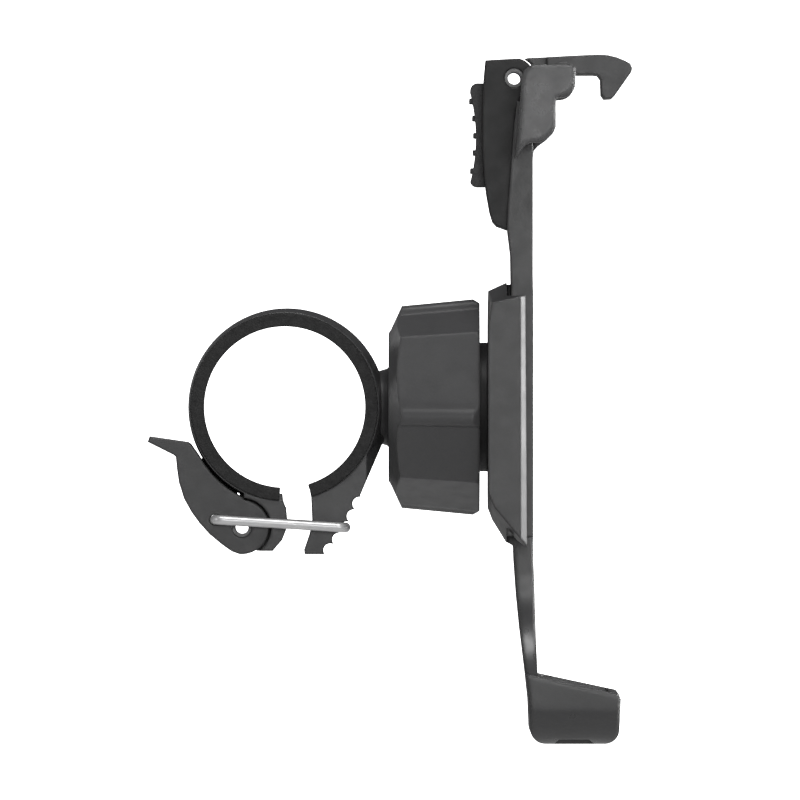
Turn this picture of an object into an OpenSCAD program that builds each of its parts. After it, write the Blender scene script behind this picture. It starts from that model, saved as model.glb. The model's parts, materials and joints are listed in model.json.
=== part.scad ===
// Bicycle phone mount: quick-release handlebar ring, ball joint with a lock nut,
// sliding cradle with a bottom tray and a lever-operated top hook.
// The origin is the centre of the handlebar bore. +Y runs along the handlebar,
// +X points to the phone and +Z runs up the cradle. Everything is drawn closed and clamped.

/* [Handlebar clamp] */
// Radius of the liner bore, for a 31.8 mm bar
bore_r = 16; // [15.9:0.05:16]
// Radial thickness of the rubber liner under the band
liner_t = 1.2; // [1:0.1:1.4]
// Radius where the liner's side flanges end
flange_r = 18.5; // [18.3:0.1:18.6]
// Outer radius of the band
band_r = 19.6; // [19.5:0.05:19.7]
// Offset of the band's outer circle towards the ball
band_shift = 0.5; // [0.4:0.1:0.6]
// Width of the plastic band
band_w = 18.8; // [18.6:0.1:19]
// Width of the rubber liner over its flanges
liner_w = 20; // [19.8:0.1:20.2]
// Distance between the tips of the adjusting teeth
tooth_pitch = 2.7; // [2.65:0.01:2.72]

/* [Clamp lever] */
// Width of the clamp lever
lever_w = 18.4; // [18:0.1:18.6]
// Radius of the lever's round head
lever_head_r = 5.35; // [5.2:0.05:5.4]
// Outer radius of the tubular lever pin
lever_pin_r = 1.9; // [1.8:0.05:2]
// Radius of the hole through the lever pin
lever_pin_hole_r = 1.3; // [1.1:0.1:1.4]
// Radius of the bail wire
wire_r = 0.95; // [0.9:0.05:0.95]
// Distance of the wire's long sides from the middle
wire_y = 11; // [11:0.1:11.4]

/* [Ball joint] */
// Radius of the ball
ball_r = 10.5; // [10.4:0.05:10.5]
// Distance of the ball's centre from the handlebar's centre
ball_x = 27.5; // [27.4:0.1:27.6]
// Outer radius of the collet that grips the ball
socket_r = 14.1; // [14:0.1:14.2]
// Largest radius of the lock nut
nut_r = 21.6; // [21.3:0.1:21.8]
// Left face of the lock nut
nut_x0 = 20.6; // [20.5:0.1:20.7]
// Right face of the lock nut
nut_x1 = 38.7; // [38.6:0.1:38.8]
// Radius of the neck between nut and housing
neck_r = 12.8; // [12.4:0.1:13]

/* [Cradle] */
// Width of the back housing
housing_w = 50; // [48:1:52]
// Width of the arms where they leave the housing
arm_w = 32; // [30:1:32]
// Width of the bottom tray
tray_w = 82; // [76:1:90]
// Thickness of the tray's side walls
tray_wall = 2.5; // [2:0.5:3]
// Travel of the upper arm
arm_travel = 30; // [20:1:30]

/* [Top hook] */
// Width of the head block
head_w = 50; // [48:1:52]
// Width of the slot between the head's lobes
head_slot_w = 30; // [30:0.5:31]
// Width of the release lever
release_w = 29; // [28.5:0.5:29]
// Width of the hook's arm
hook_w = 24; // [22:1:25]
// Radius of the hidden hook pin
hook_pin_r = 1.1; // [1:0.1:1.2]

/* [Hidden] */
$fn = 96;

charcoal = [0.30, 0.30, 0.31];
dark = [0.22, 0.22, 0.23];
rubber = [0.15, 0.15, 0.15];
steel = [0.75, 0.75, 0.76];

run_gap = 0.05;      // radial clearance of the running fits
liner_r = bore_r + liner_t;
knuckle_w = 8.6;     // width of the ring's knuckle between the lever's cheeks
cam = [-8.43, -23.81];    // clamp lever's pin, as X and Z
bail_eye = [-13.79, -22.3];    // hole that holds the wire's ends
bail_bar = [12.1, -23.9];      // wire's cross bar in the third scallop
first_tip = [15, -17.8];       // tip of the uppermost adjusting tooth
tooth_count = 5;

lip_x = 22.05;       // inner face of the nut's lip
finger_x = 22.8;     // ends of the collet's fingers
socket_x1 = 40.3;    // socket flange meets the housing
screw_ring_r = 9.6;  // the socket screws' circle

rail_x0 = 47;        // back of the retaining rails
rail_x1 = 47.7;      // front of the side walls
channel_x = 44;      // floor of the housing's channel
channel_w = housing_w - 4;
tongue_x = 46;       // back of the upper arm's tongue
tongue_w = channel_w - 1;
lower_tongue_x = 45.85;    // front of the lower arm's tongue
front_x = 49.3;      // front of both arms
stop_z = 16;
stop_r = 1.5;

release_pin = [45.5, 65.1];    // release lever's pin, as X and Z
release_pin_r = 1.85;
release_hole_r = 1.26;
cheek_y = 12.2;      // inner side of the release lever's cheeks
ear_y = 9.9;         // inner side of the upper arm's ears
hook_axis = [55.2, 65.9];
tail_w = 19;         // width of the hook's tail between the ears
pad_x = 53.7;        // face that the back of the phone rests on

// ---- helpers ----

// Points on an arc about c, from angle a0 to a1
function arc(c, r, a0, a1, n = 10) =
    [for (i = [0:n]) let (a = a0 + (a1 - a0) * i / n) c + r * [cos(a), sin(a)]];

// A side profile, drawn as X and Z, made w wide along Y
module slab(w, y = 0)
    translate([0, y, 0]) rotate([90, 0, 0]) linear_extrude(w, center = true) children();

// A side profile repeated on both sides, from y0 to y1
module both_sides(y0, y1)
    for (side = [-1, 1]) slab(y1 - y0, side * (y0 + y1) / 2) children();

// A profile drawn as radius and X, turned about the X axis
module turned() rotate([0, 90, 0]) rotate_extrude() children();

// A rod along Y at an X and Z place
module y_rod(at, r, w) translate([at[0], 0, at[1]]) rotate([90, 0, 0])
    cylinder(r = r, h = w, center = true);

// A rod along X
module x_rod(r, x0, x1) translate([x0, 0, 0]) rotate([0, 90, 0]) cylinder(r = r, h = x1 - x0);

// A front outline, drawn as Y and Z, made deep along X
module front_slab(x0, x1) translate([x0, 0, 0]) rotate([90, 0, 90]) linear_extrude(x1 - x0) children();

// A pan-head screw along X, with its head at the high end
module screw(r, x0, x1, head_r, head_t) {
    x_rod(r, x0, x1 - head_t / 2);
    x_rod(head_r, x1 - head_t, x1);
}

// The screw's hole, with its counterbore open towards +X
module screw_hole(r, x0, x1, head_r, head_t) {
    x_rod(r, x0, x1);
    x_rod(head_r, x1 - head_t, x1 + 5);
}

// ---- handlebar clamp ----

function heading(i) = -112 - 5 * (i - 1);
function tip(i) = i == 0 ? first_tip : tip(i - 1) + tooth_pitch * [cos(heading(i)), sin(heading(i))];

module liner_gap() polygon([[0, 0], 30 * [cos(266.8), sin(266.8)], 30 * [cos(286.9), sin(286.9)]]);

module toothed_leg() difference() {
    polygon(concat(
        [[18, -4], [19.75, -6.5], [15.05, -17.4]],
        [for (i = [0:tooth_count]) tip(i)],
        [[4, -29.15], [3.9, -28.2], [5, -25], [5.5, -22.6], [5.3, -17.9]]));
    for (i = [0:tooth_count - 1])
        translate((tip(i) + tip(i + 1)) / 2) rotate(heading(i + 1) + 90) translate([0.42, 0]) circle(r = 1.42);
    // way out for the wire's cross bar past the third tooth
    translate(bail_bar) rotate(-9) translate([-wire_r - 0.2, -3.2]) square([2.4, 3.2]);
}

module pin_leg() polygon([[-0.9, -16], [-0.3, -18.5], [0.3, -20], [0.5, -22.2], [0.3, -24.4],
    [-0.5, -26.4], [-2.3, -28.5], [-5.5, -28.5], [-6.2, -27], [-6.2, -19.2],
    [-8, -19.2], [-8, -16]]);

// The band's side faces end on a circle about the bore, and slope out to the larger middle of the band
module band() hull() {
    y_rod([0, 0], flange_r + 0.3, band_w);
    y_rod([band_shift, 0], band_r, band_w - 12);
}

// The groove that takes the lever's rib, which closes the gap between lever and band
module rib_groove() slab(5.6) polygon(concat(
    arc([band_shift, 0], band_r + 2, 204, 248), arc([band_shift, 0], band_r - 0.6, 248, 204)));

// The toothed leg narrows towards the ball, which leaves the nut room to tilt
module nose_chamfers() for (side = [-1, 1]) scale([1, side, 1])
    translate([0, 0, -15]) linear_extrude(30) polygon([[21, 2.4], [16.2, 9.5], [16.2, 12], [22, 12]]);

module clamp_ring() color(charcoal) difference() {
    union() {
        band();
        difference() {
            slab(band_w) toothed_leg();
            nose_chamfers();
        }
        difference() {
            slab(band_w) pin_leg();
            both_sides(knuckle_w / 2, band_w) translate(cam) circle(r = lever_head_r + 0.5);
        }
        y_rod(cam, 4.4, knuckle_w);
        slab(knuckle_w) polygon([[-9, -16.5], [-8, -16.5], [-8, -19.2], [-8.6, -19]]);
        translate([16.8, 0, 0]) rotate([0, 90, 0]) cylinder(r1 = 6.6, r2 = 7.7, h = 3.7);
        translate([ball_x, 0, 0]) sphere(r = ball_r);
    }
    y_rod([0, 0], liner_r, 30);
    rib_groove();
    both_sides(9, 12) circle(r = flange_r);
    slab(30) polygon([[-0.8, -14], [-0.3, -18.5], [0.15, -19.8], [5.35, -19.8], [5.3, -17.9], [4.5, -14]]);
    y_rod(cam, lever_pin_r, 30);
}

module ring_liner() color(rubber) difference() {
    union() {
        y_rod([0, 0], liner_r, liner_w);
        both_sides(9, liner_w / 2) circle(r = flange_r);
    }
    y_rod([0, 0], bore_r, 30);
    slab(30) liner_gap();
}

module clamp_lever_pin() color(steel) difference() {
    y_rod(cam, lever_pin_r, lever_w - 1.6);
    y_rod(cam, lever_pin_hole_r, 30);
}

module clamp_lever_outline() polygon(concat(
    [[-27.1, -6.9], [-26.7, -5.8], [-19.15, -6.9], [-18.55, -7.3]],
    arc([band_shift, 0], band_r + 0.3, 209, 243),
    arc(cam, lever_head_r, 84, -95, 24),
    [[-10.4, -28.6], [-12.4, -27.2], [-14.8, -25.2], [-16.8, -23], [-18.4, -20.8], [-19.9, -18.1],
    [-20.9, -14.9], [-21.3, -12.1], [-21.5, -9.9], [-21.9, -9.5]]));

module clamp_lever() color(charcoal) difference() {
    union() {
        slab(lever_w) clamp_lever_outline();
        slab(5) polygon(concat(
            arc([band_shift, 0], band_r - 0.2, 211, 241), arc([band_shift, 0], band_r + 1, 241, 211)));
    }
    // room for the ring's knuckle between the two cheeks
    slab(knuckle_w + 0.6) translate(cam) {
        circle(r = 4.8);
        polygon(concat([[0, 0]], arc([0, 0], 9, -158, 98)));
    }
    y_rod(cam, lever_pin_r + run_gap, 30);
    y_rod(bail_eye, wire_r + run_gap, 30);
}

// One quarter bend of the wire, from the +X side to the +Y side of its centre
module wire_bend(r) rotate_extrude(angle = 90) translate([r, 0]) circle(r = wire_r, $fn = 32);

module bail_wire() {
    bend = 1.5;
    reach = norm(bail_bar - bail_eye);
    slope = atan2(bail_bar[1] - bail_eye[1], bail_bar[0] - bail_eye[0]);
    color(steel) translate([bail_eye[0], 0, bail_eye[1]]) rotate([0, -slope, 0]) {
        for (side = [-1, 1]) scale([1, side, 1]) {
            translate([0, 5.2, 0]) rotate([-90, 0, 0]) cylinder(r = wire_r, h = wire_y - bend - 5.2, $fn = 32);
            translate([bend, wire_y - bend, 0]) rotate(90) wire_bend(bend);
            translate([bend, wire_y, 0]) rotate([0, 90, 0]) cylinder(r = wire_r, h = reach - 2 * bend, $fn = 32);
            translate([reach - bend, wire_y - bend, 0]) wire_bend(bend);
        }
        translate([reach, 0, 0]) rotate([90, 0, 0])
            cylinder(r = wire_r, h = 2 * (wire_y - bend), center = true, $fn = 32);
    }
}

// ---- ball joint ----

// A zone of a spherical shell about the ball's centre
module ball_shell(r0, r1, half) translate([ball_x, 0, 0]) intersection() {
    difference() {
        sphere(r = r1);
        sphere(r = r0);
    }
    cube([2 * half, 60, 60], center = true);
}

module ball_liner() color(rubber) ball_shell(ball_r + run_gap, ball_r + 0.85, 5.5);

module friction_ring() color(steel) ball_shell(ball_r + 0.9, ball_r + 1.7, 6);

module screw_places(r) for (a = [45:90:315]) rotate([a, 0, 0]) translate([0, 0, r]) children();

module ball_socket() color(dark) difference() {
    union() {
        x_rod(socket_r, finger_x, 38.5);
        x_rod(neck_r, 38, socket_x1);
    }
    translate([ball_x, 0, 0]) intersection() {
        sphere(r = ball_r + 1.75);
        translate([-20, -20, -20]) cube([20 + ball_r + 0.4, 40, 40]);
    }
    for (a = [0:60:300]) rotate([a, 0, 0]) translate([finger_x - 1, -0.6, 0]) cube([9, 1.2, 20]);
    screw_places(screw_ring_r) x_rod(1, 36.8, 50);
}

module socket_screws() color(steel) screw_places(screw_ring_r) screw(1, 37, 43.6, 1.9, 1.3);

module thrust_washer() color(steel) difference() {
    x_rod(socket_r - 0.2, lip_x + 0.05, finger_x);
    x_rod(11.9, 0, 60);
}

// A quarter of the nut's outline: each row is an angle and how far the point lies inside nut_r.
// A long pad facet ends in a rounded ridge and a step, and a lower facet follows.
nut_quarter = [[45, 0.5], [1.5, 0.9], [-0.4, 0.8], [-1.6, 0.55], [-3.2, 0.2], [-5, 0], [-7.4, 0], [-9.2, 0.2],
    [-10.4, 0.6], [-11.2, 1.2], [-12, 1.7], [-13.5, 1.8]];

function nut_outline() = [for (quarter = [0:-90:-270]) for (p = nut_quarter)
    let (a = p[0] + quarter, r = nut_r - p[1]) [r * cos(a), r * sin(a)]];

// The nut tapers towards the ring
module lock_nut() color(charcoal) difference() {
    intersection() {
        translate([nut_x1, 0, 0]) rotate([90, 0, -90])
            linear_extrude(nut_x1 - nut_x0, scale = 0.92) polygon(nut_outline());
        turned() polygon([[11.2, nut_x0 + 0.3], [11.6, nut_x0], [14.6, nut_x0], [15.4, nut_x0 + 0.5],
            [20.6, 23.5], [22, 30], [22, 36.5], [20.6, nut_x1], [11.2, nut_x1]]);
    }
    x_rod(socket_r + 0.1, lip_x, 60);
}

// ---- cradle ----

bevel = 1;           // slope along the front of the housing's side walls
housing_side = [[40.3, 16], [41, 20.6], [rail_x1 - bevel, 21.8], [rail_x1 - bevel, -26], [41.4, -19.6],
    [40.3, -17]];
housing_front = [[41, 20.6], [rail_x1, 22], [48, -27.4], [41.4, -19.6]];
housing_middle = [[40.3, 20], [40.4, 23], [43.9, 24.6], [rail_x1, 24.6], [48, -28],
    [44.3, -27.4], [41.2, -22.4], [40.3, -20]];
rail_screw_y = channel_w / 2 - 2.2;
rail_screw_z = [-18, 0, 18];
arm_screw_z = [-20, 5];
arm_screw_y = 15;

module back_housing() color(charcoal) difference() {
    hull() {
        slab(34) polygon(housing_middle);
        slab(housing_w - 2 * bevel) polygon(housing_front);
        slab(housing_w) polygon(housing_side);
    }
    // channel for the two tongues, open at both ends
    translate([channel_x, -channel_w / 2, -40]) cube([10, channel_w, 80]);
    translate([channel_x, -40, 22]) cube([10, 80, 10]);
    screw_places(screw_ring_r) screw_hole(1, 36, 43.6, 2, 1.3);
    for (side = [-1, 1]) {
        for (z = rail_screw_z) translate([0, side * rail_screw_y, z]) x_rod(0.8, 41.5, 50);
        for (z = arm_screw_z) translate([0, side * arm_screw_y, z]) x_rod(0.8, 41.5, 50);
    }
    translate([0, 0, stop_z]) x_rod(stop_r, 41.5, 50);
}

// Each rail stands on the channel's floor and hooks over the sliding tongue
module rail_covers() color(charcoal) for (side = [-1, 1]) scale([1, side, 1]) difference() {
    translate([0, 0, -25.5]) union() {
        translate([rail_x0, 17.5, 0]) cube([rail_x1 - rail_x0, channel_w / 2 - 17.5, 47]);
        translate([channel_x, channel_w / 2 - 3.6, 0]) cube([rail_x1 - channel_x, 3.6, 47]);
    }
    for (z = rail_screw_z) translate([0, rail_screw_y, z]) screw_hole(0.8, 36, 47.5, 1.5, 0.8);
}

module rail_screws() color(steel) for (side = [-1, 1]) for (z = rail_screw_z)
    translate([0, side * rail_screw_y, z]) screw(0.8, 41.7, 47.5, 1.5, 0.8);

tray_profile = concat([[47.7, -52.6], [48.3, -58.1], [48.5, -62.8]],
    arc([51.6, -63.3], 3.1, 180, 270, 8), arc([63.2, -63.5], 2.9, 270, 355, 8),
    [[66.4, -57.5], [66, -56.5], [49.7, -53]]);
tray_floor = -64.9;

module tray() difference() {
    intersection() {
        slab(tray_w) polygon(tray_profile);
        front_slab(40, 80) translate([0, -66.4]) {
            translate([-tray_w / 2, 7]) square([tray_w, 20]);
            translate([-tray_w / 2 + 7, 0]) square([tray_w - 14, 20]);
            for (side = [-1, 1]) translate([side * (tray_w / 2 - 7), 7]) circle(r = 7);
        }
    }
    front_slab(50.9, 64.4) translate([0, tray_floor]) {
        translate([-tray_w / 2 + tray_wall, 5]) square([tray_w - 2 * tray_wall, 20]);
        translate([-tray_w / 2 + tray_wall + 5, 0]) square([tray_w - 2 * tray_wall - 10, 20]);
        for (side = [-1, 1]) translate([side * (tray_w / 2 - tray_wall - 5), 5]) circle(r = 5);
    }
    // shallow notch under each side wall
    both_sides(34, 45) polygon([[53.2, -67], [53.2, -66.4], [54.2, -65.5], [60.1, -65.5], [61.2, -66.4], [61.2, -67]]);
}

lower_arm_side = [[44.1, -24.4], [44.1, -26.8], [44.9, -27.2], [45.3, -27.6], [45.4, -30.4], [45.9, -37.3], [46.5, -43.3],
    [47.1, -48.2], [47.7, -53], [48.3, -58.2], [50.5, -58.2], [50.1, -53], [49.8, -46], [49.6, -38],
    [front_x, -30], [front_x, -25.8], [lower_tongue_x, -25.8], [lower_tongue_x, -24.4]];
lower_arm_front = concat([[arm_w / 2, -24]], arc([arm_w / 2 + 25, -33], 25, 180, 265, 16));
function mirrored(points) = concat(points,
    [for (i = [len(points) - 1:-1:0]) [-points[i][0], points[i][1]]]);

module lower_arm() color(charcoal) {
    difference() {
        union() {
            intersection() {
                slab(90) polygon(lower_arm_side);
                front_slab(40, 60) polygon(mirrored(lower_arm_front));
            }
            translate([44.05, -arm_w / 2, -24.4]) cube([lower_tongue_x - 44.05, arm_w, 44.4]);
        }
        for (side = [-1, 1]) for (z = arm_screw_z) translate([0, side * arm_screw_y, z])
            x_rod(0.8, 40, 50);
        for (side = [-1, 1]) for (z = arm_screw_z) translate([0, side * arm_screw_y, z])
            x_rod(1.5, lower_tongue_x - 0.9, 50);
        screw_places(screw_ring_r) x_rod(2.2, 40, 47);
        translate([0, 0, stop_z]) x_rod(stop_r, 40, 50);
        // seat of the friction spring
        translate([44.85, -4, -18]) cube([3, 8, 24]);
        // room for the tray's own wall
        translate([50.88, -50, -70]) cube([5, 100, 20]);
    }
    tray();
}

module lower_arm_screws() color(steel) for (side = [-1, 1]) for (z = arm_screw_z)
    translate([0, side * arm_screw_y, z]) screw(0.8, 41.7, lower_tongue_x - 0.1, 1.5, 0.8);

module tray_pad() color(rubber) translate([51.3, -tray_w / 2 + tray_wall + 5.5, tray_floor])
    cube([12.7, tray_w - 2 * tray_wall - 11, 0.8]);

// A bowed leaf: its ends sit in the lower arm's seat and its crown brakes the tongue
module friction_spring() {
    bow_r = 110;
    crown_x = tongue_x - 0.05;
    color(steel) intersection() {
        slab(7) translate([crown_x - bow_r, -6]) difference() {
            circle(r = bow_r, $fn = 180);
            circle(r = bow_r - 0.35, $fn = 180);
        }
        translate([44, -10, -17.6]) cube([4, 20, 23.2]);
    }
}

module stop_pin() color(steel) translate([0, 0, stop_z]) x_rod(stop_r, 41.5, front_x - 0.3);

upper_arm_side = [[44.9, 20.4], [44.75, 30], [44.2, 34.6], [44.1, 36], [44.3, 40], [44.7, 45], [45.1, 51],
    [45.5, 56], [46.1, 60.5], [49.2, 60.5], [49.2, 26], [front_x, 20.4]];
lever_seat = [[40, 33.5], [44.9, 33.8], [45.05, 40], [45.45, 45], [45.9, 53], [46.3, 58], [47.1, 60.4],
    [47.1, 61], [40, 61]];
ear_side = [[46.7, 57], [49.2, 57], [49.2, 61.5], [48.2, 64], [46, 65.1], [45.2, 62.4], [46.6, 61.2]];

module upper_arm() color(charcoal) difference() {
    union() {
        slab(arm_w) polygon(upper_arm_side);
        // rib behind the arm's root
        slab(12) polygon([[44.1, 20.4], [44.1, 24.3], [45.2, 24.3], [45.2, 20.4]]);
        // tongue with its side flanges
        translate([tongue_x, -arm_w / 2, -25.7]) cube([front_x - tongue_x, arm_w, 49]);
        translate([tongue_x, -tongue_w / 2 + 3.4, -25.7]) cube([0.9, tongue_w - 6.8, 47.2]);
        both_sides(ear_y, cheek_y - 0.1) {
            polygon(ear_side);
            translate(release_pin) circle(r = 3.2);
        }
    }
    // seat that the closed release lever sinks into
    slab(release_w + 0.8) polygon(lever_seat);
    y_rod(release_pin, release_pin_r, 60);
    // slot that runs along the stop pin
    front_slab(40, 60) {
        translate([-stop_r - 0.15, stop_z - arm_travel]) square([2 * stop_r + 0.3, arm_travel]);
        for (z = [stop_z, stop_z - arm_travel]) translate([0, z]) circle(r = stop_r + 0.15);
    }
    head_screw_places() {
        x_rod(1, 40, 60);
        x_rod(1.7, 40, 47.85);
    }
}

// ---- head and hook ----

module head_screw_places() for (side = [-1, 1]) for (z = [53, 58])
    translate([0, side * 9, z]) children();

lobe_side = concat(
    [[45.75, 49.2], [46, 52], [46.3, 55], [46.5, 58.9], [46.9, 64.9], [47.3, 66.5], [48.9, 67.6]],
    [[57, 67.6], [57.6, 67], [57.6, 64.1]],
    arc([54.6, 64.1], 3, 0, -90, 6),
    [[53.7, 61], [53.7, 55.4], [53.3, 54.4], [51.9, 53], [50.6, 52.3], [48.7, 52.2], [47.6, 51.7],
    [46.7, 50.7]]);
bridge_side = [[49.2, 49.2], [49.4, 50.8], [50.3, 51.8], [51.7, 52.8], [53.3, 54.4], [53.7, 55.4],
    [53.7, 60.3], [49.2, 60.3]];

module head() color(charcoal) difference() {
    union() {
        both_sides(head_slot_w / 2, head_w / 2) polygon(lobe_side);
        slab(head_slot_w + 1) polygon(bridge_side);
    }
    // the upper arm's seat
    translate([40, -arm_w / 2, 45]) cube([9.2, arm_w, 15.6]);
    y_rod(hook_axis, hook_pin_r, 2 * head_slot_w / 2 + 12);
    both_sides(17, 24) head_pad_outline();
    head_screw_places() x_rod(0.8, 45, 50.9);
}

module head_screws() color(steel) head_screw_places() mirror([1, 0, 0]) translate([-98, 0, 0])
    screw(0.8, 47.3, 51.2, 1.6, 1);

module head_pad_outline() translate([52.9, 55.8]) square([0.8, 5]);

module head_pads() color(rubber) both_sides(17, 24) head_pad_outline();

hook_top = [[52, 69.3], [54.7, 69.45], [58.6, 69.65], [62.6, 69.8], [64.2, 69.65], [65.8, 69.25],
    [67.4, 68.6], [68.5, 68], [68.9, 67.1], [68.7, 66.3]];
hook_tip = [[65.6, 61.9], [64.8, 61.1], [63.3, 61], [62.7, 61.9], [62.6, 64.9], [62, 65.7], [61.2, 65.8]];
tail_arc = arc(release_pin, 4.45, 37, 61, 6);

module hook() color(charcoal) difference() {
    union() {
        slab(hook_w) polygon(concat(hook_top, hook_tip, [[57.5, 65.8], [52, 65.9]]));
        slab(tail_w) polygon(concat([[52.6, 65.6], [50.4, 66]], tail_arc, [[48.3, 69.15], [52.6, 69.33]]));
        y_rod(hook_axis, 2.3, head_slot_w - 0.8);
    }
    y_rod(hook_axis, hook_pin_r + run_gap, 60);
    slab(hook_w - 5) hook_pad_outline();
    // room for the torsion spring's coil
    y_rod(hook_axis, 3, 7);
}

module hook_pin() color(steel) y_rod(hook_axis, hook_pin_r, 2 * head_slot_w / 2 + 11.6);

module hook_pad_outline() polygon([[62.55, 62.3], [63.3, 62.3], [63.3, 65], [62.55, 65]]);

module hook_pad() color(rubber) slab(hook_w - 5) polygon([[62.68, 62.3], [63.3, 62.3], [63.3, 65], [62.64, 65]]);

module hook_spring() color(steel) difference() {
    y_rod(hook_axis, 2.1, 6.4);
    y_rod(hook_axis, 1.5, 30);
}

release_back = [[39.8, 68.6], [39.4, 64.1], [39.2, 58.9], [39.2, 51], [39.6, 45], [40, 42.1], [40.6, 38.7],
    [41.2, 36.7], [42, 35.8], [44.5, 34.9]];
release_front = [[44.3, 36.1], [44.55, 40], [44.95, 45], [45.4, 53], [45.75, 58.5]];

module release_lever() color(charcoal) difference() {
    union() {
        slab(release_w) polygon(concat(release_back, release_front, [[42, 60], [42, 68.75]]));
        both_sides(cheek_y, release_w / 2) polygon(concat(
            [[41, 60], [45.8, 58.5]], arc(release_pin, 4, -72, 76, 14), [[41, 68.7]]));
    }
    y_rod(release_pin, release_pin_r + run_gap, 60);
    slab(2 * cheek_y) translate(release_pin) circle(r = 3.6);
}

rib_z = [60.6, 57.2, 53.8, 50.4, 46.8];
rib_x = [36.6, 37.2, 37.4, 37.3, 36.8];

module lever_pad() color(rubber) difference() {
    union() {
        slab(22) difference() {
            polygon(concat([[40.6, 64.1]], arc([38.2, 62.7], 1.4, 90, 180, 6), arc([38.2, 45], 1.4, 180, 270, 6),
                [[40.6, 43.6]]));
            translate([37.95 - 35.4, 53.5]) circle(r = 35.4, $fn = 180);
        }
        for (i = [0:len(rib_z) - 1]) slab(20) translate([rib_x[i], rib_z[i] - 0.5]) square([3, 1]);
    }
    slab(40) polygon(concat(release_back, [[60, 34], [60, 70]]));
}

module release_lever_pins() color(steel) difference() {
    both_sides(ear_y, release_w / 2 - 0.2) translate(release_pin) circle(r = release_pin_r);
    y_rod(release_pin, release_hole_r, 60);
}

clamp_ring();
ring_liner();
clamp_lever_pin();
clamp_lever();
bail_wire();
ball_liner();
friction_ring();
ball_socket();
socket_screws();
thrust_washer();
lock_nut();
back_housing();
rail_covers();
rail_screws();
lower_arm();
lower_arm_screws();
tray_pad();
friction_spring();
stop_pin();
upper_arm();
head();
head_screws();
head_pads();
hook();
hook_pin();
hook_pad();
hook_spring();
release_lever();
lever_pad();
release_lever_pins();
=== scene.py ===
"""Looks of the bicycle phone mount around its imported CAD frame, in metres, or in mm where a name says so."""
import json
import math

import bmesh
import bpy
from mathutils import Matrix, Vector


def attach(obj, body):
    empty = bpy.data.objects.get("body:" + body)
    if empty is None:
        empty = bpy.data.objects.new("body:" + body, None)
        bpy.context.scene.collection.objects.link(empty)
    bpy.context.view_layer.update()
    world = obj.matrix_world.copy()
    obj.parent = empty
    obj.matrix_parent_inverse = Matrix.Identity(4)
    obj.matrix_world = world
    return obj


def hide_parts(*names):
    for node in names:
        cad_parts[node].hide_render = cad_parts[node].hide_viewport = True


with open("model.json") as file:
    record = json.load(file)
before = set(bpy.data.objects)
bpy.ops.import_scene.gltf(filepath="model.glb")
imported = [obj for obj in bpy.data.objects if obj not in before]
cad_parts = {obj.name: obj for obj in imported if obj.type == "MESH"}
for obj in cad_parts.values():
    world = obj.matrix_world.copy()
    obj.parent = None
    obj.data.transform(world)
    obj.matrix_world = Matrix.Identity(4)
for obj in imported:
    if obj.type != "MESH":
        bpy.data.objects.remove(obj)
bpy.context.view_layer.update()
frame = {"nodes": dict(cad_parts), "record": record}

MM = 0.001
BODIES = frame["record"]["behaviour"]["bodies"]
BODY_OF = {node: body for body, nodes in BODIES.items() for node in nodes}
SLOT_OF = {row["node"]: row["material_slot"] for row in frame["record"]["subparts"]}


# ---- camera, light and floor ----

# A key from the front right, a tall strip beside the phone, a narrow light above, and two weak fills.
LIGHT_AIM = Vector((0.025, 0, 0))
LIGHTS = {
    "key_front": {"place": (0.30, -1.6, 0.30), "size": (0.8, 0.6), "watts": 8.5},
    "strip_right": {"place": (1.3, -0.10, 0.20), "size": (0.30, 1.3), "watts": 36},
    "top_front": {"place": (0.05, -0.55, 1.15), "size": (0.6, 0.22), "watts": 9},
    "fill_left": {"place": (-1.3, -0.7, 0.35), "size": (0.4, 0.9), "watts": 3},
    "fill_back": {"place": (-1.5, 1.2, 0.45), "size": (1.0, 0.7), "watts": 8},
}


def add_camera():
    """A long lens square to the mount's side, level with its middle."""
    distance = 5.2
    frame_width = 158.7 * MM
    middle = Vector((22.9 * MM, 0, 1.4 * MM))
    data = bpy.data.cameras.new("camera")
    data.sensor_width = 36
    data.lens = data.sensor_width * distance / frame_width
    data.clip_start = 0.1
    data.clip_end = 50
    camera = bpy.data.objects.new("camera", data)
    camera.location = middle + Vector((0, -distance, 0))
    camera.rotation_euler = (math.radians(90), 0, 0)
    bpy.context.scene.collection.objects.link(camera)
    bpy.context.scene.camera = camera


def add_area_light(name, place, size, watts):
    """A rectangular light, turned to the middle of the mount."""
    data = bpy.data.lights.new(name, "AREA")
    data.shape = "RECTANGLE"
    data.size, data.size_y = size
    data.energy = watts
    light = bpy.data.objects.new(name, data)
    light.location = place
    light.rotation_euler = (LIGHT_AIM - Vector(place)).to_track_quat("-Z", "Y").to_euler()
    bpy.context.scene.collection.objects.link(light)


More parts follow.
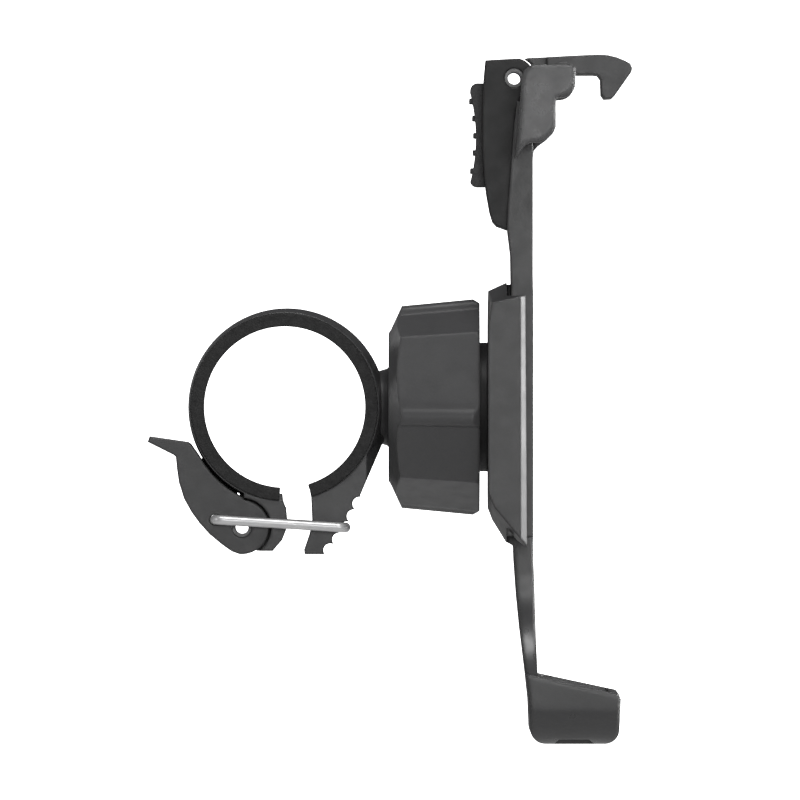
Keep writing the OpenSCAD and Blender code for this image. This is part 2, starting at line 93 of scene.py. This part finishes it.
def add_world():
    """White where the camera sees it; its own glow is dim, and slightly stronger from above."""
    seen_strength = 3
    glow_below, glow_above = (0.10, 0.10, 0.10, 1), (0.13, 0.13, 0.135, 1)
    glow_start, glow_end = 0.36, 0.80
    world = bpy.data.worlds.new("studio")
    bpy.context.scene.world = world
    world.use_nodes = True
    nodes, links = world.node_tree.nodes, world.node_tree.links
    nodes.clear()
    out = nodes.new("ShaderNodeOutputWorld")
    mix = nodes.new("ShaderNodeMixShader")
    path = nodes.new("ShaderNodeLightPath")
    seen = nodes.new("ShaderNodeBackground")
    seen.inputs["Strength"].default_value = seen_strength
    glow = nodes.new("ShaderNodeBackground")
    place = nodes.new("ShaderNodeTexCoord")
    split = nodes.new("ShaderNodeSeparateXYZ")
    ramp = nodes.new("ShaderNodeValToRGB")
    height = nodes.new("ShaderNodeMapRange")
    height.inputs["From Min"].default_value = -1
    lower, upper = ramp.color_ramp.elements
    lower.color, upper.color = glow_below, glow_above
    lower.position, upper.position = glow_start, glow_end
    links.new(place.outputs["Generated"], split.inputs[0])
    links.new(split.outputs["Z"], height.inputs["Value"])
    links.new(height.outputs["Result"], ramp.inputs["Fac"])
    links.new(ramp.outputs["Color"], glow.inputs["Color"])
    links.new(path.outputs["Is Camera Ray"], mix.inputs["Fac"])
    links.new(glow.outputs[0], mix.inputs[1])
    links.new(seen.outputs[0], mix.inputs[2])
    links.new(mix.outputs[0], out.inputs["Surface"])


def add_floor():
    """A plain round floor, far enough below the mount to stay out of the camera's frame."""
    radius, height = 5, -0.5
    tone, own_light = 0.42, 0.22
    bpy.ops.mesh.primitive_circle_add(vertices=96, radius=radius, fill_type="NGON", location=(0, 0, height))
    floor = bpy.context.object
    floor.name = "floor"
    material = bpy.data.materials.new("floor_white")
    material.use_nodes = True
    shader = material.node_tree.nodes["Principled BSDF"]
    shader.inputs["Base Color"].default_value = (tone, tone, tone, 1)
    shader.inputs["Emission Color"].default_value = (1, 1, 1, 1)
    shader.inputs["Emission Strength"].default_value = own_light
    shader.inputs["Roughness"].default_value = 0.6
    floor.data.materials.append(material)


def add_studio():
    add_camera()
    add_world()
    for name, light in LIGHTS.items():
        add_area_light(name, **light)
    add_floor()
    bpy.context.scene.view_settings.view_transform = "Standard"


# ---- materials ----

# A Mix node's sockets for colours, which share their names with its sockets for numbers.
MIX_LOW, MIX_HIGH, MIX_RESULT = 6, 7, 2


class Shader:
    """A material's node tree, with short calls for the nodes used here."""

    def __init__(self, name):
        self.material = bpy.data.materials.new(name)
        self.material.use_nodes = True
        self.tree = self.material.node_tree
        self.surface = self.tree.nodes["Principled BSDF"]
        self.place = self.tree.nodes.new("ShaderNodeTexCoord").outputs["Object"]

    def node(self, kind, **settings):
        node = self.tree.nodes.new(kind)
        for name, value in settings.items():
            setattr(node, name, value)
        return node

    def link(self, source, target):
        self.tree.links.new(source, target)

    def stretched(self, scale):
        """The object's own coordinates times scale; a number below 1 draws a pattern out that way."""
        mapping = self.node("ShaderNodeMapping")
        mapping.inputs["Scale"].default_value = scale
        self.link(self.place, mapping.inputs["Vector"])
        return mapping.outputs["Vector"]

    def noise(self, size_mm, detail, place=None):
        """Noise whose blotches are about size_mm across."""
        node = self.node("ShaderNodeTexNoise")
        node.inputs["Scale"].default_value = 1 / (size_mm * MM)
        node.inputs["Detail"].default_value = detail
        node.inputs["Roughness"].default_value = 0.55
        self.link(place or self.place, node.inputs["Vector"])
        return node.outputs["Fac"]

    def spread(self, value, low, high, start=0.3, end=0.7):
        """value, mapped from start..end to low..high."""
        node = self.node("ShaderNodeMapRange")
        for name, number in (("From Min", start), ("From Max", end), ("To Min", low), ("To Max", high)):
            node.inputs[name].default_value = number
        self.link(value, node.inputs["Value"])
        return node.outputs["Result"]

    def math(self, operation, a, b):
        """a and b, each a socket or a number, joined by the operation."""
        node = self.node("ShaderNodeMath", operation=operation)
        for socket, value in zip(node.inputs, (a, b)):
            if isinstance(value, (int, float)):
                socket.default_value = value
            else:
                self.link(value, socket)
        return node.outputs[0]

    def blend(self, amount, low, high):
        """A colour between low and high."""
        node = self.node("ShaderNodeMix", data_type="RGBA")
        for socket, colour in ((node.inputs[MIX_LOW], low), (node.inputs[MIX_HIGH], high)):
            if isinstance(colour, tuple):
                socket.default_value = (*colour, 1)
            else:
                self.link(colour, socket)
        self.link(amount, node.inputs["Factor"])
        return node.outputs[MIX_RESULT]

    def rounded(self, radius_mm):
        """The normal that the surface would have with its edges rounded."""
        node = self.node("ShaderNodeBevel", samples=6)
        node.inputs["Radius"].default_value = radius_mm * MM
        return node.outputs[0]

    def edges(self, radius_mm):
        """1 on sharp edges and 0 on flats, from how far a rounded normal leans from the true one."""
        rounded = self.rounded(radius_mm)
        true = self.node("ShaderNodeNewGeometry")
        dot = self.node("ShaderNodeVectorMath", operation="DOT_PRODUCT")
        self.link(rounded, dot.inputs[0])
        self.link(true.outputs["Normal"], dot.inputs[1])
        return self.spread(dot.outputs["Value"], low=1, high=0, start=0.80, end=0.995)

    def bump(self, height, strength, depth_mm, normal=None):
        """The normal, or the surface's own, with height pressed into it."""
        node = self.node("ShaderNodeBump")
        node.inputs["Strength"].default_value = strength
        node.inputs["Distance"].default_value = depth_mm * MM
        self.link(height, node.inputs["Height"])
        if normal:
            self.link(normal, node.inputs["Normal"])
        return node.outputs["Normal"]

    def finish(self, colour, roughness, normal):
        for name, source in (("Base Color", colour), ("Roughness", roughness), ("Normal", normal)):
            self.link(source, self.surface.inputs[name])
        return self.material


def grey(value):
    """A grey with a trace of blue."""
    return (value, value, value * 1.02)


def moulded_plastic(name, tone, roughness, round_mm=0.6, shine=0.5):
    """Satin spark-eroded plastic: fine grain, faint flow marks, and smoother edges painted paler, a painted
    edge highlight broken up in patches like rubbed wear.
    """
    s = Shader(name)
    s.surface.inputs["Specular IOR Level"].default_value = shine
    along_z = (1, 1, 0.4)
    flow = s.noise(size_mm=14, detail=2, place=s.stretched(along_z))
    speck = s.noise(size_mm=0.35, detail=2)
    edge = s.edges(radius_mm=0.35)
    # Sharp edges get a painted edge highlight, patchy like rubbed wear; the same mask makes them smoother.
    painted_highlight_and_wear = s.math("MULTIPLY", edge, s.spread(s.noise(size_mm=1.6, detail=4), low=0.25, high=1))
    body = s.blend(s.spread(flow, low=0, high=1), grey(tone * 0.93), grey(tone * 1.07))
    body = s.blend(s.spread(speck, low=0, high=0.25, start=0.35, end=0.75), body, grey(tone * 1.35))
    # The paler edge colour is painted highlight and wear together.
    colour = s.blend(painted_highlight_and_wear, body, grey(tone * 1.7))
    handled = s.spread(s.noise(size_mm=3, detail=3), low=roughness - 0.05, high=roughness + 0.06)
    polish = s.math("MULTIPLY", painted_highlight_and_wear, -0.16)
    rough = s.math("ADD", handled, polish)
    grain = s.noise(size_mm=0.22, detail=2)
    normal = s.bump(grain, strength=0.22, depth_mm=0.02, normal=s.rounded(round_mm))
    waves = s.noise(size_mm=9, detail=1)
    return s.finish(colour, rough, s.bump(waves, strength=0.12, depth_mm=0.06, normal=normal))


def moulded_rubber(name, tone, roughness=0.72, grain_mm=0.45, depth=0.7):
    """Matt rubber with a finely dimpled skin, paler in its dimples, and patches of dust."""
    s = Shader(name)
    dimples = s.node("ShaderNodeTexVoronoi", feature="F1")
    dimples.inputs["Scale"].default_value = 1 / (grain_mm * MM)
    s.link(s.place, dimples.inputs["Vector"])
    cells = dimples.outputs["Distance"]
    dust = s.spread(s.noise(size_mm=2.5, detail=4), low=0, high=0.5, start=0.45, end=0.75)
    body = s.blend(s.spread(cells, low=0, high=1, start=0.2, end=0.8), grey(tone * 1.25), grey(tone * 0.6))
    colour = s.blend(dust, body, grey(tone * 1.6))
    rough = s.spread(s.noise(size_mm=1.2, detail=3), low=roughness - 0.07, high=roughness + 0.1)
    normal = s.bump(cells, strength=depth, depth_mm=0.12)
    grain = s.noise(size_mm=0.2, detail=2)
    return s.finish(colour, rough, s.bump(grain, strength=0.3, depth_mm=0.03, normal=normal))


def drawn_steel(name, tone, roughness, along=(1, 1, 1), metallic=1):
    """Plated steel with paler, duller smudges and a fine grain, which along draws out into lines."""
    s = Shader(name)
    s.surface.inputs["Metallic"].default_value = metallic
    lines = s.noise(size_mm=0.25, detail=3, place=s.stretched(along))
    smudge = s.noise(size_mm=2.2, detail=4)
    between, smudged = (tone * 0.9, tone * 0.9, tone * 0.91), (tone, tone, tone)
    colour = s.blend(s.spread(smudge, low=0, high=1), between, smudged)
    drawn = s.spread(lines, low=roughness - 0.07, high=roughness + 0.07)
    rough = s.math("ADD", drawn, s.spread(smudge, low=-0.03, high=0.06))
    return s.finish(colour, rough, s.bump(lines, strength=0.25, depth_mm=0.01))


def slot_materials():
    """One material for each of the record's slots."""
    along_x = (0.08, 1, 1)
    return {
        "ring_plastic": moulded_plastic("ring_plastic", tone=0.031, roughness=0.40),
        "liner_rubber": moulded_rubber("liner_rubber", tone=0.005),
        "lever_plastic": moulded_plastic("lever_plastic", tone=0.026, roughness=0.42),
        "wire_steel": drawn_steel("wire_steel", tone=0.53, roughness=0.36, along=along_x, metallic=0.6),
        "inner_plastic": moulded_plastic("inner_plastic", tone=0.018, roughness=0.5),
        "steel": drawn_steel("steel", tone=0.62, roughness=0.30),
        "dark_steel": drawn_steel("dark_steel", tone=0.10, roughness=0.38),
        "nut_plastic": moulded_plastic("nut_plastic", tone=0.056, roughness=0.36, round_mm=0.9, shine=0.25),
        "body_plastic": moulded_plastic("body_plastic", tone=0.025, roughness=0.38),
        "pad_rubber": moulded_rubber("pad_rubber", tone=0.022, roughness=0.6, grain_mm=0.3, depth=0.35),
    }


def own_materials():
    """Materials for the nodes whose tone, gloss or rounding differs from the rest of their slot; the release
    lever's darker tone is painted shade and the head's lighter tone is painted light.
    """
    return {
        # The release lever's very dark tone is painted shade, for the recess it sits in beside the head.
        "release_lever": moulded_plastic("release_lever_painted_shade", tone=0.010, roughness=0.46, shine=0.3),
        # The head's lighter tone is painted light: a lit copy of the body plastic, for the light on its bulged
        # face.
        "head": moulded_plastic("head_plastic_painted_light", tone=0.036, roughness=0.30, round_mm=1.6),
        "lower_arm": moulded_plastic("lower_arm_plastic", tone=0.026, roughness=0.32, round_mm=1.4),
    }


# ---- pieces ----

WELD_MM = 0.002
FLAT_DEGREES = 0.4
SHARP_DEGREES = 32
ROUNDING_STEPS = 3

# The rounding of the edges of each node that is shown as a rounded copy. The rest are shown as they are.
ROUNDED_MM = {
    "clamp_ring": 0.35, "ring_liner": 0.2, "clamp_lever": 0.45, "lock_nut": 0.7, "ball_socket": 0.2,
    "back_housing": 0.6, "rail_covers": 0.15, "lower_arm": 0.5, "tray_pad": 0.2, "upper_arm": 0.4,
    "head": 0.9, "head_pads": 0.15, "hook": 0.55, "hook_pad": 0.08, "release_lever": 0.6,
    "lever_pad": 0.2,
}


def clean_copy(node):
    """A welded copy of a CAD node's mesh, with its flat faces whole again and its old normals dropped."""
    mesh = bpy.data.meshes.new(node + "_form")
    work = bmesh.new()
    work.from_mesh(frame["nodes"][node].data)
    bmesh.ops.remove_doubles(work, verts=work.verts, dist=WELD_MM * MM)
    flat = math.radians(FLAT_DEGREES)
    bmesh.ops.dissolve_limit(work, angle_limit=flat, verts=work.verts, edges=work.edges)
    for face in work.faces:
        face.smooth = True
    work.to_mesh(mesh)
    work.free()
    if "custom_normal" in mesh.attributes:
        mesh.attributes.remove(mesh.attributes["custom_normal"])
    return mesh


def moulding(node, radius_mm):
    """The visible form of a CAD node: its own shape with rounded edges."""
    piece = bpy.data.objects.new(node + "_form", clean_copy(node))
    bpy.context.scene.collection.objects.link(piece)
    rounding = piece.modifiers.new("rounding", "BEVEL")
    rounding.limit_method = "ANGLE"
    rounding.angle_limit = math.radians(SHARP_DEGREES)
    rounding.width = radius_mm * MM
    rounding.segments = ROUNDING_STEPS
    rounding.use_clamp_overlap = True
    rounding.miter_outer = "MITER_ARC"
    rounding.harden_normals = True
    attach(piece, BODY_OF[node])
    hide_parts(node)
    return piece


def paint(obj, material):
    obj.data.materials.clear()
    obj.data.materials.append(material)


add_studio()
slot_material = slot_materials()
own_material = own_materials()
for node, radius_mm in ROUNDED_MM.items():
    paint(moulding(node, radius_mm), own_material.get(node, slot_material[SLOT_OF[node]]))
for node, obj in frame["nodes"].items():
    paint(obj, slot_material[SLOT_OF[node]])
